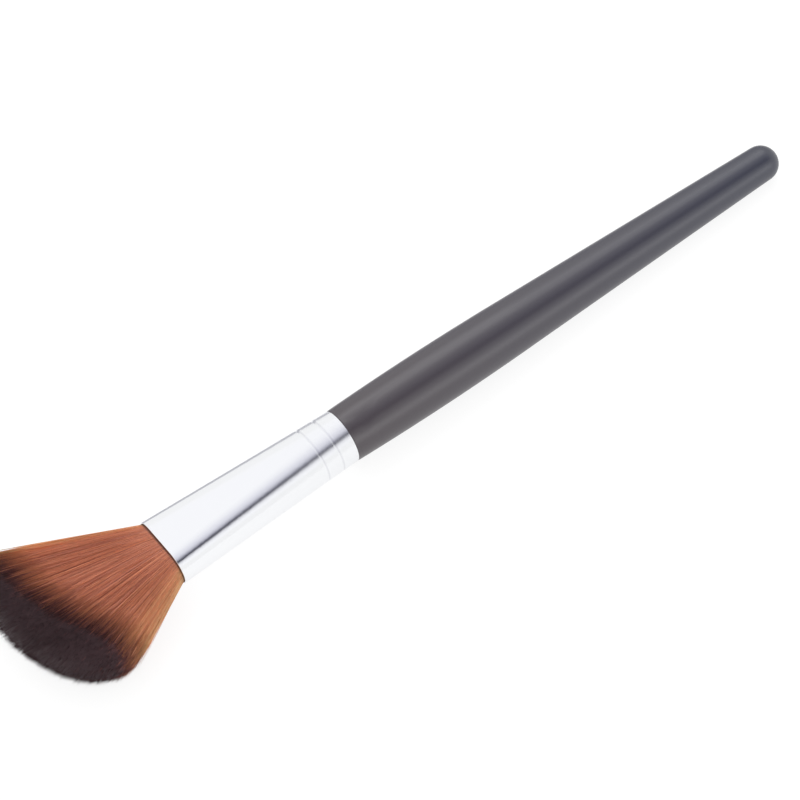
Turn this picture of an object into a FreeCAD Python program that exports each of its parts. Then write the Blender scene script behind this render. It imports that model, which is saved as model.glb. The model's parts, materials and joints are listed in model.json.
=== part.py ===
import FreeCAD, Part
import math
import os
import Sketcher

# Angled blush brush. Five pieces make one rigid part:
#   handle           turned wood with a tapered tenon that enters the ferrule
#   ferrule          thin aluminium tube, round at the handle and a flat oval at the mouth
#   bristle_bundle   the tuft: a root held in the ferrule and a fan with a slanted, domed tip
#   binding_thread   the thread wound round the root of the tuft
#   glue_plug        cured epoxy between the root of the tuft and the tenon
#
# Each piece is drawn in the brush's own frame, in mm. X is the axis of the brush, with the handle
# on the plus side and the tuft on the minus side. Y is the wide way of the tuft, with its long
# hair on the plus side. X = 0 is the joint between ferrule and handle. Depth means the distance
# from that joint towards the tuft. The finished brush then lies on its wide side on the table,
# which is the plane Z = 0.

V = FreeCAD.Vector

SIZES = [
    ("handle_length", 107.2, "joint to the domed end"),
    ("shoulder_radius", 5.58, "handle where it meets the ferrule"),
    ("belly_rise", 0.29, "how far the belly stands above the shoulder"),
    ("belly_place", 20.0, "joint to the thickest place of the handle"),
    ("end_radius", 3.7, "dome at the free end"),
    ("shoulder_round", 0.25, "rounded edge of the shoulder"),
    ("tenon_length", 12.0, "part of the handle inside the ferrule"),
    ("tenon_chamfer", 0.6, "chamfer at the end of the tenon"),
    ("ferrule_length", 41.7, "joint to the mouth"),
    ("rear_radius", 5.5, "ferrule's outer radius at the handle"),
    ("rear_straight", 0.2, "straight stretch of the nearly round rear"),
    ("mouth_width", 15.24, "flat oval of the mouth, outer width"),
    ("mouth_thickness", 8.14, "flat oval of the mouth, outer thickness"),
    ("ferrule_wall", 0.35, "sheet thickness of the tube"),
    ("mouth_round", 0.15, "rounded outer edge of the mouth"),
    ("crimp_place", 3.5, "joint to the middle of the first crimp ring"),
    ("crimp_spacing", 3.6, "first crimp ring to the second"),
    ("crimp_width", 0.9, "width of a crimp ring"),
    ("crimp_depth", 0.09, "depth of a crimp ring"),
    ("fit_clearance", 0.05, "gap between pieces that fit inside one another"),
    ("root_depth", 21.0, "length of hair inside the ferrule"),
    ("thread_diameter", 0.5, "binding thread"),
    ("thread_pitch", 0.48, "one turn of the thread to the next, pressed together"),
    ("thread_turns", 5, "turns of the binding thread"),
    ("thread_setback", 3.0, "end of the root to the first turn"),
    ("hair_length", 32.3, "mouth to the tip on the axis"),
    ("tip_slant", 6.0, "how much longer the hair is at the long side"),
    ("width_crown", 5.0, "drop of the tip from the middle to each side"),
    ("face_crown", 2.0, "drop of the tip from the middle to each face"),
    ("tip_dome", 5.0, "height of the dome with which the tip rounds into the sides"),
    ("side_spread", 26.0, "angle of the outermost hair to the middle hair"),
    ("side_lean", -3.0, "angle of the middle hair to the axis"),
    ("face_spread", 14.0, "angle of the hair on the two faces"),
    ("hair_straight", 0.8, "length of hair that runs straight before it spreads"),
    ("rim_swell", 0.25, "how far the hair swells over the rim of the mouth"),
    ("lock_count", 46, "locks of hair round the tuft"),
    ("lock_depth", 0.55, "depth of the valley between two locks at the tip"),
    ("rest_roll", 3.0, "roll with which the tuft lies on its face"),
    ("rest_give", 0.4, "how far the soft hair gives way where it lies on the table"),
]


def make_sheet(document):
    """Spreadsheet with one named cell for each driving dimension."""
    sheet = document.addObject("Spreadsheet::Sheet", "Sizes")
    sheet.Label = "driving dimensions"
    for row, (name, value, note) in enumerate(SIZES, start=1):
        sheet.set(f"A{row}", name)
        sheet.set(f"B{row}", str(value))
        sheet.set(f"C{row}", note)
        sheet.setAlias(f"B{row}", name)
    document.recompute()
    return sheet


doc = FreeCAD.newDocument("angled_blush_brush")
sizes = make_sheet(doc)


# Expressions on the driving dimensions. The tube narrows in thickness and widens in width evenly
# along its length, so its flat oval at any depth follows from the two ends.

def named(expression):
    """The expression with the sheet's name before each driving dimension."""
    words = []
    word = ""
    for letter in expression + " ":
        if letter.isalnum() or letter == "_":
            word += letter
            continue
        words.append(f"Sizes.{word}" if word in KNOWN else word)
        words.append(letter)
        word = ""
    return "".join(words).strip()


KNOWN = {name for name, value, note in SIZES}


def value_of(expression):
    """Value of an expression on the driving dimensions."""
    return float(sizes.evalExpression(named(expression)))


def straight_at(depth):
    """Straight stretch of the tube's flat oval at a depth."""
    return (f"(rear_straight + (mouth_width - mouth_thickness - rear_straight)"
            f" * ({depth}) / ferrule_length)")


def bend_at(depth):
    """Outer bend radius of the tube's flat oval at a depth."""
    return f"(rear_radius + (mouth_thickness / 2 - rear_radius) * ({depth}) / ferrule_length)"


# A rolled crimp ring is a shallow groove with a parabola for its section. Each pair is a place
# along the ring, as a share of half its width, and the groove's depth there, as a share.
CRIMP_STEPS = [(-1.0, 0.0), (-0.5, 0.75), (0.0, 1.0), (0.5, 0.75), (1.0, 0.0)]


def crimp_stations():
    """Depth and inward offset of the tube's skin at each step of the two crimp rings."""
    stations = []
    for ring in range(2):
        for place, share in CRIMP_STEPS:
            depth = f"(crimp_place + {ring} * crimp_spacing + {place} * crimp_width / 2)"
            stations.append((depth, f"({share} * crimp_depth)"))
    return stations


# Sketches and features

def origin_plane(body, role):
    """One of the body's own origin planes."""
    return next(item for item in body.Origin.OriginFeatures if item.Role == role)


def new_body(name):
    """An empty body with its label."""
    body = doc.addObject("PartDesign::Body", name)
    body.Label = name
    return body


def new_sketch(body, name, role):
    """A sketch on one of the body's origin planes."""
    sketch = body.newObject("Sketcher::SketchObject", name)
    sketch.AttachmentSupport = [(origin_plane(body, role), "")]
    sketch.MapMode = "FlatFace"
    return sketch


def constrain(sketch, name, expression, *constraint):
    """A named dimension of a sketch, driven by the sheet."""
    index = sketch.addConstraint(Sketcher.Constraint(*constraint, value_of(expression)))
    sketch.renameConstraint(index, name)
    sketch.setExpression(f"Constraints.{name}", named(expression))


def oval_sketch(body, name, depth, inset):
    """Flat oval across the axis at a depth, offset inwards from the tube's outer skin."""
    bend = f"({bend_at(depth)} - ({inset}))"
    radius = value_of(bend)
    half = value_of(straight_at(depth)) / 2
    sketch = new_sketch(body, name, "YZ_Plane")
    sketch.AttachmentOffset = FreeCAD.Placement(V(0, 0, -value_of(depth)), FreeCAD.Rotation())
    sketch.setExpression("AttachmentOffset.Base.z", named(f"-({depth}) * 1 mm"))
    axis = V(0, 0, 1)
    quarter = math.pi / 2
    right = Part.ArcOfCircle(Part.Circle(V(half, 0, 0), axis, radius), -quarter, quarter)
    top = Part.LineSegment(V(half, radius, 0), V(-half, radius, 0))
    left = Part.ArcOfCircle(Part.Circle(V(-half, 0, 0), axis, radius), quarter, 3 * quarter)
    bottom = Part.LineSegment(V(-half, -radius, 0), V(half, -radius, 0))
    for curve in (right, top, left, bottom):
        sketch.addGeometry(curve, False)
    for first in range(4):
        sketch.addConstraint(Sketcher.Constraint("Tangent", first, 2, (first + 1) % 4, 1))
    sketch.addConstraint(Sketcher.Constraint("Equal", 0, 2))
    sketch.addConstraint(Sketcher.Constraint("PointOnObject", 0, 3, -1))
    sketch.addConstraint(Sketcher.Constraint("Symmetric", 0, 3, 2, 3, -1, 1))
    constrain(sketch, "bend", bend, "Radius", 0)
    constrain(sketch, "straight", straight_at(depth), "DistanceX", 2, 3, 0, 3)
    return sketch


def add_loft(body, name, kind, sections):
    """A straight-sided loft through the sections, which adds or cuts."""
    loft = body.newObject(kind, name)
    loft.Profile = sections[0]
    loft.Sections = sections[1:]
    loft.Ruled = True
    return loft


def add_revolution(body, name, sketch):
    """The profile turned round the axis of the brush."""
    revolution = body.newObject("PartDesign::Revolution", name)
    revolution.Profile = sketch
    revolution.ReferenceAxis = (sketch, ["H_Axis"])
    revolution.Angle = 360
    return revolution


def round_edges(body, name, feature, edges, radius):
    """Fillet on the named edges of the body's last feature."""
    fillet = body.newObject("PartDesign::Fillet", name)
    fillet.Base = (feature, edges)
    fillet.setExpression("Radius", named(f"{radius} * 1 mm"))
    body.Tip = fillet


def edges_at(shape, x, reach):
    """Names of the edges that lie in the plane X = x, further than reach from the axis."""
    names = []
    for number, edge in enumerate(shape.Edges, start=1):
        box = edge.BoundBox
        flat = abs(box.XMin - x) < 1e-4 and abs(box.XMax - x) < 1e-4
        if flat and all(math.hypot(p.Y, p.Z) > reach for p in edge.Vertexes):
            names.append(f"Edge{number}")
    return names


# Handle

def tenon_sketch(body):
    """Half section of the tenon: it follows the narrow way of the bore and its crimp rings."""
    inset = "(ferrule_wall + fit_clearance)"
    corners = [("0", "0"), ("0", f"({bend_at('0')} - {inset})")]
    for depth, groove in crimp_stations():
        corners.append((f"-{depth}", f"({bend_at(depth)} - {inset} - {groove})"))
    end = f"({bend_at('tenon_length')} - {inset})"
    corners.append(("-(tenon_length - tenon_chamfer)", end))
    corners.append(("-tenon_length", f"({end} - tenon_chamfer)"))
    corners.append(("-tenon_length", "0"))
    points = [V(value_of(x), value_of(y), 0) for x, y in corners]
    sketch = new_sketch(body, "tenon_section", "XZ_Plane")
    count = len(points)
    for index in range(count):
        sketch.addGeometry(Part.LineSegment(points[index], points[(index + 1) % count]), False)
    for index in range(count):
        sketch.addConstraint(Sketcher.Constraint("Coincident", index, 2, (index + 1) % count, 1))
    sketch.addConstraint(Sketcher.Constraint("Coincident", 0, 1, -1, 1))
    sketch.addConstraint(Sketcher.Constraint("Vertical", 0))
    sketch.addConstraint(Sketcher.Constraint("Vertical", count - 2))
    sketch.addConstraint(Sketcher.Constraint("Horizontal", count - 1))
    constrain(sketch, "mouth_side", corners[1][1], "DistanceY", 1, 1)
    for index in range(2, count - 1):
        constrain(sketch, f"along_{index}", corners[index][0], "DistanceX", index, 1)
        constrain(sketch, f"out_{index}", corners[index][1], "DistanceY", index, 1)
    return sketch


def handle_sketch(body):
    """Half section of the turned handle: shoulder, belly arc, straight taper, domed end.

    The belly arc starts at the shoulder and is level at belly_place. The taper is the common
    tangent of the belly arc and the dome.
    """
    arc_radius = "((belly_place * belly_place + belly_rise * belly_rise) / (2 * belly_rise))"
    radius = value_of(arc_radius)
    shoulder = value_of("shoulder_radius")
    end = value_of("end_radius")
    belly = V(value_of("belly_place"), shoulder + value_of("belly_rise") - radius, 0)
    dome = V(value_of("handle_length - end_radius"), 0, 0)
    between = dome - belly
    turn = math.atan2(between.y, between.x) + math.acos((radius - end) / between.Length)
    outward = V(math.cos(turn), math.sin(turn), 0)
    start = math.atan2(shoulder - belly.y, -belly.x)
    axis = V(0, 0, 1)
    sketch = new_sketch(body, "handle_section", "XZ_Plane")
    sketch.addGeometry(Part.LineSegment(V(0, 0, 0), V(0, shoulder, 0)), False)
    sketch.addGeometry(Part.ArcOfCircle(Part.Circle(belly, axis, radius), turn, start), False)
    sketch.addGeometry(Part.LineSegment(belly + outward * radius, dome + outward * end), False)
    sketch.addGeometry(Part.ArcOfCircle(Part.Circle(dome, axis, end), 0, turn), False)
    sketch.addGeometry(Part.LineSegment(V(dome.x + end, 0, 0), V(0, 0, 0)), False)
    face, belly_arc, taper, dome_arc, centre_line = range(5)
    for constraint in [
        ("Coincident", face, 1, -1, 1),
        ("Vertical", face),
        ("Coincident", face, 2, belly_arc, 2),
        ("Tangent", belly_arc, 1, taper, 1),
        ("Tangent", taper, 2, dome_arc, 2),
        ("PointOnObject", dome_arc, 3, -1),
        ("Coincident", dome_arc, 1, centre_line, 1),
        ("Coincident", centre_line, 2, -1, 1),
        ("Horizontal", centre_line),
    ]:
        sketch.addConstraint(Sketcher.Constraint(*constraint))
    constrain(sketch, "shoulder", "shoulder_radius", "DistanceY", face, 2)
    constrain(sketch, "belly_centre", "belly_place", "DistanceX", belly_arc, 3)
    constrain(sketch, "belly_radius", arc_radius, "Radius", belly_arc)
    constrain(sketch, "dome_radius", "end_radius", "Radius", dome_arc)
    constrain(sketch, "dome_end", "handle_length", "DistanceX", dome_arc, 1)
    return sketch


def make_handle():
    """Turned wooden handle with its tenon."""
    body = new_body("handle")
    add_revolution(body, "turned_handle", handle_sketch(body))
    tenon = add_revolution(body, "tenon", tenon_sketch(body))
    doc.recompute()
    reach = value_of("shoulder_radius - shoulder_round")
    round_edges(body, "shoulder_edge", tenon, edges_at(tenon.Shape, 0, reach), "shoulder_round")
    return body


# Ferrule

def make_ferrule():
    """Flattened tube with two crimp rings: an outer loft, and the bore cut by an inner one."""
    body = new_body("ferrule")
    stations = [("0", "0")] + crimp_stations() + [("ferrule_length", "0")]
    skins = []
    for side, wall in (("outer", "0"), ("inner", "ferrule_wall")):
        skins.append([oval_sketch(body, f"{side}_{number}", depth, f"{wall} + {groove}")
                      for number, (depth, groove) in enumerate(stations)])
    add_loft(body, "tube", "PartDesign::AdditiveLoft", skins[0])
    bore = add_loft(body, "bore", "PartDesign::SubtractiveLoft", skins[1])
    doc.recompute()
    reach = value_of("mouth_thickness / 2 - ferrule_wall / 2")
    rim = edges_at(bore.Shape, -value_of("ferrule_length"), reach)
    round_edges(body, "mouth_edge", bore, rim, "mouth_round")
    return body


# Glue plug and binding thread

ROOT_END = "(ferrule_length - root_depth)"
BAND_START = f"({ROOT_END} + thread_setback)"
BAND_LENGTH = "(thread_turns * thread_pitch)"
HAIR_INSET = "(ferrule_wall + fit_clearance)"


def make_glue_plug():
    """Epoxy that fills the tube between the tenon and the root of the tuft."""
    body = new_body("glue_plug")
    ends = ["(tenon_length + fit_clearance)", f"({ROOT_END} - fit_clearance)"]
    sections = [oval_sketch(body, f"glue_{number}", depth, HAIR_INSET)
                for number, depth in enumerate(ends)]
    body.Tip = add_loft(body, "plug", "PartDesign::AdditiveLoft", sections)
    return body


def make_binding_thread():
    """Flat band of thread turns, wound side by side. Each is a round section along an oval."""
    body = new_body("binding_thread")
    inset = f"({HAIR_INSET} + thread_diameter / 2)"
    for number in range(int(value_of("thread_turns"))):
        depth = f"({BAND_START} + ({number} + 0.5) * thread_pitch)"
        height = f"({bend_at(depth)} - {inset})"
        path = oval_sketch(body, f"turn_path_{number}", depth, inset)
        section = new_sketch(body, f"turn_section_{number}", "XZ_Plane")
        centre = V(-value_of(depth), value_of(height), 0)
        circle = Part.Circle(centre, V(0, 0, 1), value_of("thread_diameter / 2"))
        section.addGeometry(circle, False)
        constrain(section, "along", f"-{depth}", "DistanceX", 0, 3)
        constrain(section, "height", height, "DistanceY", 0, 3)
        constrain(section, "radius", "thread_diameter / 2", "Radius", 0)
        doc.recompute()
        turn = body.newObject("PartDesign::AdditivePipe", f"turn_{number}")
        turn.Profile = section
        turn.Spine = (path, ["Edge1", "Edge2", "Edge3", "Edge4"])
    return body


# Tuft

# Rings over the dome of the tip, each at a share of the way out. They are closest where it is
# steepest.
DOME_SHARES = (1.0, 0.98, 0.93, 0.85, 0.73, 0.57, 0.37, 0.15)


def oval_seeds(count, straight, bend):
    """Evenly spaced places round a flat oval.

    Each is a pair: a share of half the straight stretch, and the direction of the outline's
    outward normal, as an angle from the wide way.
    """
    quarter = math.pi * bend / 2
    outline = 4 * quarter + 2 * straight
    seeds = []
    for number in range(count):
        along = (number + 0.5) / count * outline
        for length, begin, end, angle in [
            (quarter, 1, 1, 0),
            (straight, 1, -1, None),
            (2 * quarter, -1, -1, math.pi / 2),
            (straight, -1, 1, None),
            (quarter, 1, 1, -math.pi / 2),
        ]:
            if along <= length:
                break
            along -= length
        if angle is None:
            share = begin + (end - begin) * along / length
            normal = math.pi / 2 if begin > 0 else -math.pi / 2
        else:
            share = begin
            normal = angle + along / bend
        seeds.append((share, normal))
    return seeds


class Tuft:
    """Rings of points that make the tuft: inside the ferrule, and over the fan and its tip."""

    def __init__(self):
        self.number = {name: value_of(name) for name in KNOWN}
        self.half = value_of(straight_at("ferrule_length")) / 2
        self.bend = value_of(f"{bend_at('ferrule_length')} - {HAIR_INSET}")
        self.locks = int(self.number["lock_count"])
        self.seeds = oval_seeds(2 * self.locks, 2 * self.half, self.bend)
        self.side = math.tan(math.radians(self.number["side_spread"]))
        self.lean = math.tan(math.radians(self.number["side_lean"]))
        self.face = math.tan(math.radians(self.number["face_spread"]))

    def inner_ring(self, depth, inset):
        """Flat oval ring inside the ferrule."""
        half = value_of(straight_at(depth)) / 2
        bend = value_of(f"{bend_at(depth)} - ({inset})")
        x = -value_of(depth)
        return [V(x, half * share + bend * math.cos(normal), bend * math.sin(normal))
                for share, normal in self.seeds]

    def valley(self, index):
        """Depth of the valley at a point: none on a lock's crest, uneven from lock to lock."""
        if index % 2 == 0:
            return 0.0
        return self.number["lock_depth"] * (0.7 + 0.3 * math.sin(2.4 * index))

    def reach(self, wide, thick, share):
        """Length of the hair whose root lies at a share of the way out, in both directions."""
        number = self.number
        return (number["hair_length"] + number["tip_slant"] * wide
                - number["width_crown"] * wide ** 2 - number["face_crown"] * thick ** 2
                - number["tip_dome"] * (1 - math.sqrt(1 - share ** 2)))

    def fan_point(self, index, share, length=None):
        """Point of a hair, at a length along it or at its tip.

        The hair leaves the mouth at its share of the way from the middle to the outline. It
        runs straight at first, then spreads in proportion to its place in the mouth.
        """
        straight_share, normal = self.seeds[index]
        y = self.half * straight_share + self.bend * math.cos(normal)
        z = self.bend * math.sin(normal)
        wide = share * y / (self.half + self.bend)
        thick = share * z / self.bend
        valley = self.valley(index) * share ** 2
        full = self.reach(wide, thick, share) - valley
        run = full if length is None else length
        start = self.number["hair_straight"]
        spread = run - start * (1 - math.exp(-run / start))
        swell = self.number["rim_swell"] * min(1.0, run)
        out = swell - valley * run / full
        return V(-self.number["ferrule_length"] - run,
                 share * (y + out * math.cos(normal)) + (self.lean + self.side * wide) * spread,
                 share * (z + out * math.sin(normal)) + self.face * thick * spread)

    def fan_ring(self, share, length=None):
        """Ring of the fan's outside at a length, or of its tip at a share of the way out."""
        return [self.fan_point(index, share, length) for index in range(len(self.seeds))]

    def rings(self):
        """All rings, from the end of the root to the last one on the tip."""
        waist = f"({HAIR_INSET} + thread_diameter + fit_clearance)"
        slope = "thread_diameter / 4"
        start = f"({BAND_START} - fit_clearance)"
        end = f"({BAND_START} + {BAND_LENGTH} + fit_clearance)"
        inside = [
            (ROOT_END, HAIR_INSET),
            (f"({start} - {slope})", HAIR_INSET),
            (start, waist),
            (end, waist),
            (f"({end} + {slope})", HAIR_INSET),
            ("ferrule_length", HAIR_INSET),
        ]
        rings = [self.inner_ring(depth, inset) for depth, inset in inside]
        rings += [self.fan_ring(1.0, length) for length in (1.0, 4.0)]
        rings += [self.fan_ring(share) for share in DOME_SHARES]
        return rings

    def shape(self, settle=None):
        """Solid with a ruled facet between each pair of points and the same pair one ring on.

        Settle moves the points to where they lie in the finished tuft.
        """
        rings = self.rings()
        if settle:
            rings = [[settle(point) for point in ring] for ring in rings]
        tip = rings[-1]
        apex = self.fan_point(0, 0.0)
        count = len(tip)
        faces = [Part.Face(Part.makePolygon(rings[0] + rings[0][:1]))]
        for ring, further in zip(rings, rings[1:]):
            for index in range(count):
                beside = (index + 1) % count
                near = Part.makeLine(ring[index], ring[beside])
                far = Part.makeLine(further[index], further[beside])
                faces.append(Part.makeRuledSurface(near, far))
        for index in range(count):
            corners = [tip[index], tip[(index + 1) % count], apex, tip[index]]
            faces.append(Part.Face(Part.makePolygon(corners)))
        shell = Part.makeShell(faces)
        shell.sewShape()
        return Part.makeSolid(shell)


def make_bristle_bundle(tuft, rest):
    """The tuft at rest. It is flat where it lies, because its points stay above the table.

    Its rings aren't flat, so ruled facets make it and not sketches.
    """
    def settle(point):
        placed = rest.multVec(point)
        placed.z = max(placed.z, 0.0)
        return rest.inverse().multVec(placed)

    feature = doc.addObject("Part::Feature", "bristle_bundle")
    feature.Label = "bristle_bundle"
    feature.Shape = tuft.shape(settle)
    return feature


# Rest: the brush lies on the face of its tuft, which gives way a little, and on the end of its
# handle

def lowest(shape):
    """Lowest height of a shape."""
    return shape.optimalBoundingBox().ZMin


def tilted(shape, tilt):
    """Copy of a shape rolled by rest_roll round the axis and then tilted in the XZ plane."""
    turn = FreeCAD.Rotation(V(0, 1, 0), tilt)
    roll = FreeCAD.Rotation(V(1, 0, 0), value_of("rest_roll"))
    placed = shape.copy()
    placed.Placement = FreeCAD.Placement(V(0, 0, 0), turn.multiply(roll))
    return placed


def rest_placement(tuft, handle):
    """Placement that brings the handle's end to Z = 0 and the unpressed tuft to rest_give below.

    The box of both is centred on X and Y.
    """
    give = value_of("rest_give")
    low, high = -30.0, 30.0
    while high - low > 1e-6:
        tilt = (low + high) / 2
        if lowest(tilted(tuft, tilt)) + give < lowest(tilted(handle, tilt)):
            low = tilt
        else:
            high = tilt
    parts = [tilted(tuft, tilt), tilted(handle, tilt)]
    box = Part.makeCompound(parts).optimalBoundingBox()
    shift = V(-(box.XMin + box.XMax) / 2, -(box.YMin + box.YMax) / 2, -lowest(parts[1]))
    return FreeCAD.Placement(shift, parts[0].Placement.Rotation)


pieces = [make_handle(), make_ferrule(), make_glue_plug(), make_binding_thread()]
doc.recompute()
fan = Tuft()
rest = rest_placement(fan.shape(), pieces[0].Shape)
pieces.append(make_bristle_bundle(fan, rest))
doc.recompute()
for piece in pieces:
    piece.Placement = rest
doc.recompute()

for item in doc.Objects:
    if "Invalid" in item.State or "Error" in item.State:
        raise RuntimeError(f"{item.Label} failed: {item.State}")
for piece in pieces:
    if piece.Shape.isNull() or not piece.Shape.isValid() or len(piece.Shape.Solids) != 1:
        raise RuntimeError(f"{piece.Label} is not one valid solid")

os.makedirs("parts", exist_ok=True)
for piece in pieces:
    piece.Shape.exportStep(f"parts/{piece.Label}.step")
    print(f"{piece.Label}: {piece.Shape.Volume:.1f} mm3, {len(piece.Shape.Faces)} faces")
print("rest placement", rest)
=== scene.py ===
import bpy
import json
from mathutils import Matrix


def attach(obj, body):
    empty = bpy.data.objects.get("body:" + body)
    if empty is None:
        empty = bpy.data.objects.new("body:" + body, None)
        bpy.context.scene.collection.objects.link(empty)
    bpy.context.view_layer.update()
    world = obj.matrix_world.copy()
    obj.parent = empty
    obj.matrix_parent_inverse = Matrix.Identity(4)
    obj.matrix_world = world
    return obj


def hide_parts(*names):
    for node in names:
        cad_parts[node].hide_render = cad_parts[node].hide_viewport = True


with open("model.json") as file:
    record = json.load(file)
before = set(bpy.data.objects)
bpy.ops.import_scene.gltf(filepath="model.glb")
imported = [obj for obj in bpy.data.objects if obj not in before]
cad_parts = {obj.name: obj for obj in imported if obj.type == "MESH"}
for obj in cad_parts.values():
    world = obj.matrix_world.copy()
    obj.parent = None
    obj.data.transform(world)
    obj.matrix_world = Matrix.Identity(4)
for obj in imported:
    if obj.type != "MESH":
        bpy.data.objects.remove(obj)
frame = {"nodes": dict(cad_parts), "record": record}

"""Visual model of an angled blush brush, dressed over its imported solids.

The turned handle and the metal ferrule keep their solids and get their finishes here. The tuft is
built as what it is: about twenty-five thousand fine filaments that leave the flat mouth of the
ferrule, fan out and end on a slanted dome. Lengths are in millimetres in the brush's own directions
until they are placed, and in metres in the scene.
"""

import json
import logging
from dataclasses import dataclass, field
from enum import Enum
from math import cos, pi, radians, sin, tan

import bpy
import numpy as np
from mathutils import Matrix, Vector

LOG = logging.getLogger("blush_brush")
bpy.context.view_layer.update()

BODY = "root"
MM = 0.001
FRAME_PIXELS = 800
SENSOR_WIDTH = 36.0
# UV map of new pieces: the first share is a tone, the second a place on the finish's scale.
TONE_UV = "tone"

Tree = bpy.types.NodeTree
Socket = bpy.types.NodeSocket
Material = bpy.types.Material
Piece = bpy.types.Object
Array = np.ndarray
Pair = tuple[float, float]
# Places with their written colours, and places with their values
Stops = tuple[tuple[float, str], ...]
Curve = tuple[tuple[float, ...], tuple[float, ...]]
SHARE = (0.0, 1.0)
SQUARE = np.array([[0, 1, 2], [0, 2, 3]])


class Slot(Enum):
    """A material slot name of the record, which nothing in this script uses."""

    HAIR = "two_tone_hair"


class HairPart(Enum):
    """Which stretch of the tuft a group of filaments covers."""

    UPPER_FACE = "upper_face_hair"
    LOWER_FACE = "lower_face_hair"
    TIP = "tip_hair"
    LOOSE = "loose_hair"


# Helpers for nodes, colours and meshes

def linear(code: str) -> tuple[float, float, float, float]:
    """Turns a written sRGB colour into the linear one that a shader takes.

    Args:
        code: The colour as six hexadecimal digits after a hash sign.

    Returns:
        Linear red, green and blue, with an alpha of one.
    """
    shares = [int(code[i:i + 2], 16) / 255 for i in (1, 3, 5)]
    light = [s / 12.92 if s <= 0.04045 else ((s + 0.055) / 1.055) ** 2.4 for s in shares]
    return (*light, 1.0)


def add_node(
    tree: Tree,
    kind: str,
    settings: dict[str, object] | None = None,
    inputs: dict[str | int, object] | None = None,
) -> bpy.types.Node:
    """Adds one node, sets it up and joins it to what feeds it.

    Args:
        tree: The node tree that gets the node.
        kind: Blender's name of the node type.
        settings: Values for the node's own properties.
        inputs: For each input, by name or number, a plain value or the output that feeds it.

    Returns:
        The new node.
    """
    node = tree.nodes.new(kind)
    for name, value in (settings or {}).items():
        setattr(node, name, value)
    for name, value in (inputs or {}).items():
        if isinstance(value, Socket):
            tree.links.new(value, node.inputs[name])
        else:
            node.inputs[name].default_value = value
    return node


def add_ramp(tree: Tree, share: Socket, stops: Stops) -> Socket:
    """Adds a colour ramp with stops of a place and a written colour, and gives its colour."""
    node = add_node(tree, "ShaderNodeValToRGB", inputs={"Fac": share})
    ramp = node.color_ramp
    while len(ramp.elements) < len(stops):
        ramp.elements.new(0.5)
    for element, (place, code) in zip(ramp.elements, stops):
        element.position = place
        element.color = linear(code)
    return node.outputs["Color"]


def add_range(
    tree: Tree, value: Socket, before: Pair = SHARE, after: Pair = SHARE, kind: str = "LINEAR"
) -> Socket:
    """Carries a value from one range over to another.

    Args:
        tree: The node tree.
        value: What is carried over.
        before: The range it has.
        after: The range it gets.
        kind: Blender's name of the way in between.

    Returns:
        The new value.
    """
    node = add_node(
        tree, "ShaderNodeMapRange", settings={"interpolation_type": kind}, inputs={
            "Value": value, "From Min": before[0], "From Max": before[1],
            "To Min": after[0], "To Max": after[1],
        },
    )
    return node.outputs["Result"]


def add_noise(tree: Tree, place: Socket, cell_mm: float, detail: float) -> Socket:
    """Adds noise with cells of about that size, and gives its share."""
    node = add_node(
        tree, "ShaderNodeTexNoise",
        inputs={"Vector": place, "Scale": 1 / (cell_mm * MM), "Detail": detail},
    )
    return node.outputs["Fac"]


def add_bump(tree: Tree, height: Socket, relief: Pair, under: Socket | None = None) -> Socket:
    """Adds fine relief.

    Args:
        tree: The node tree.
        height: Share of the depth at each place.
        relief: Strength, and depth in millimetres.
        under: Normal of a coarser relief that lies under it.

    Returns:
        The normal.
    """
    strength, depth = relief
    inputs = {"Strength": strength, "Distance": depth * MM, "Height": height}
    if under is not None:
        inputs["Normal"] = under
    return add_node(tree, "ShaderNodeBump", inputs=inputs).outputs["Normal"]


def add_mix(tree: Tree, share: Socket, first: object, second: object) -> Socket:
    """Mixes two colours, given as values or outputs, by the share of the second."""
    inputs = {0: share, 6: first, 7: second}
    return add_node(tree, "ShaderNodeMix", {"data_type": "RGBA"}, inputs).outputs[2]


def object_place(tree: Tree) -> Socket:
    """Place on the object, in metres."""
    return add_node(tree, "ShaderNodeTexCoord").outputs["Object"]


def tone_and_place(tree: Tree) -> tuple[Socket, Socket]:
    """The two shares of a new piece's own UV map."""
    uv = add_node(tree, "ShaderNodeUVMap", settings={"uv_map": TONE_UV}).outputs["UV"]
    split = add_node(tree, "ShaderNodeSeparateXYZ", inputs={0: uv})
    return split.outputs["X"], split.outputs["Y"]


def add_math(tree: Tree, operation: str, *values: object) -> Socket:
    """Adds one step of arithmetic on values or outputs, and gives its result."""
    inputs = dict(enumerate(values))
    return add_node(tree, "ShaderNodeMath", {"operation": operation}, inputs).outputs["Value"]


def show_shader(tree: Tree, shader: Socket) -> None:
    """Joins a shader to the output of its material."""
    add_node(tree, "ShaderNodeOutputMaterial", inputs={"Surface": shader})


def show_principled(tree: Tree, inputs: dict[str, object]) -> None:
    """Ends a material in one principled shader with these inputs."""
    shader = add_node(tree, "ShaderNodeBsdfPrincipled", inputs=inputs)
    show_shader(tree, shader.outputs["BSDF"])


def new_material(name: str) -> tuple[Material, Tree]:
    """An empty node material of that name, and its tree."""
    material = bpy.data.materials.new(name)
    material.use_nodes = True
    material.node_tree.nodes.clear()
    return material, material.node_tree


def add_object(name: str, data: bpy.types.ID) -> Piece:
    """Puts a mesh, a light or a camera into the scene."""
    piece = bpy.data.objects.new(name, data)
    bpy.context.scene.collection.objects.link(piece)
    return piece


def give_material(piece: Piece, material: Material) -> None:
    """Makes this the only material of a piece or a node of the frame."""
    piece.data.materials.clear()
    piece.data.materials.append(material)


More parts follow.
